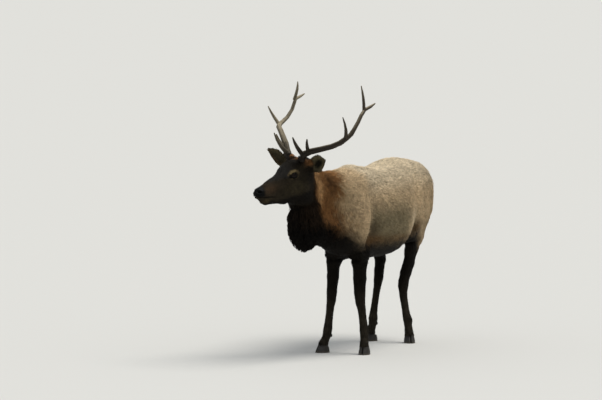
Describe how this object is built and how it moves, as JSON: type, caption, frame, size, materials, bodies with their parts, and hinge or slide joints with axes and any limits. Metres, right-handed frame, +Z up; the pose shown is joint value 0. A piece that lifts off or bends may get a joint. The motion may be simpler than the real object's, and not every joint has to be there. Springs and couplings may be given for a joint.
{
  "type": "young bull elk model",
  "caption": "Life-size young bull elk in autumn coat, standing still with its head turned to its right, with branched antlers and a dark neck mane.",
  "frame": {"origin": "on the floor, below the middle of the box round the whole animal", "axes": "+Z up; the trunk lies along Y and faces -Y; +X is the animal's left side"},
  "size_m": [0.8766, 2.167, 2.0285],
  "materials": {
    "coat_buff": "short body coat, matte, buff grey",
    "coat_mane": "long neck mane, matte, chestnut to black-brown",
    "coat_head": "very short face coat, matte, grey brown",
    "coat_legs": "short leg coat, slightly glossy, black brown",
    "coat_rump": "short coat, matte, orange buff",
    "eye": "wet gloss",
    "horn": "worn satin",
    "antler": "grooved, worn pale on raised edges"
  },
  "bodies": {
    "root": {"trunk": "coat_buff", "neck": "coat_mane", "head": "coat_head", "tail": "coat_rump", "ear_left": "coat_head", "ear_right": "coat_head", "eye_left": "eye", "eye_right": "eye", "foreleg_left_forearm": "coat_legs", "foreleg_left_cannon": "coat_legs", "foreleg_left_hoof_inner": "horn", "foreleg_left_dewclaw_inner": "horn", "foreleg_left_hoof_outer": "horn", "foreleg_left_dewclaw_outer": "horn", "foreleg_right_forearm": "coat_legs", "foreleg_right_cannon": "coat_legs", "foreleg_right_hoof_inner": "horn", "foreleg_right_dewclaw_inner": "horn", "foreleg_right_hoof_outer": "horn", "foreleg_right_dewclaw_outer": "horn", "hindleg_left_thigh": "coat_legs", "hindleg_left_cannon": "coat_legs", "hindleg_left_hoof_inner": "horn", "hindleg_left_dewclaw_inner": "horn", "hindleg_left_hoof_outer": "horn", "hindleg_left_dewclaw_outer": "horn", "hindleg_right_thigh": "coat_legs", "hindleg_right_cannon": "coat_legs", "hindleg_right_hoof_inner": "horn", "hindleg_right_dewclaw_inner": "horn", "hindleg_right_hoof_outer": "horn", "hindleg_right_dewclaw_outer": "horn", "antler_left_beam_lower": "antler", "antler_left_beam_upper": "antler", "antler_left_brow": "antler", "antler_left_bez": "antler", "antler_left_trez": "antler", "antler_left_crown": "antler", "antler_right_beam_lower": "antler", "antler_right_beam_upper": "antler", "antler_right_brow": "antler", "antler_right_bez": "antler", "antler_right_trez": "antler", "antler_right_crown": "antler"}
  },
  "joints": []
}
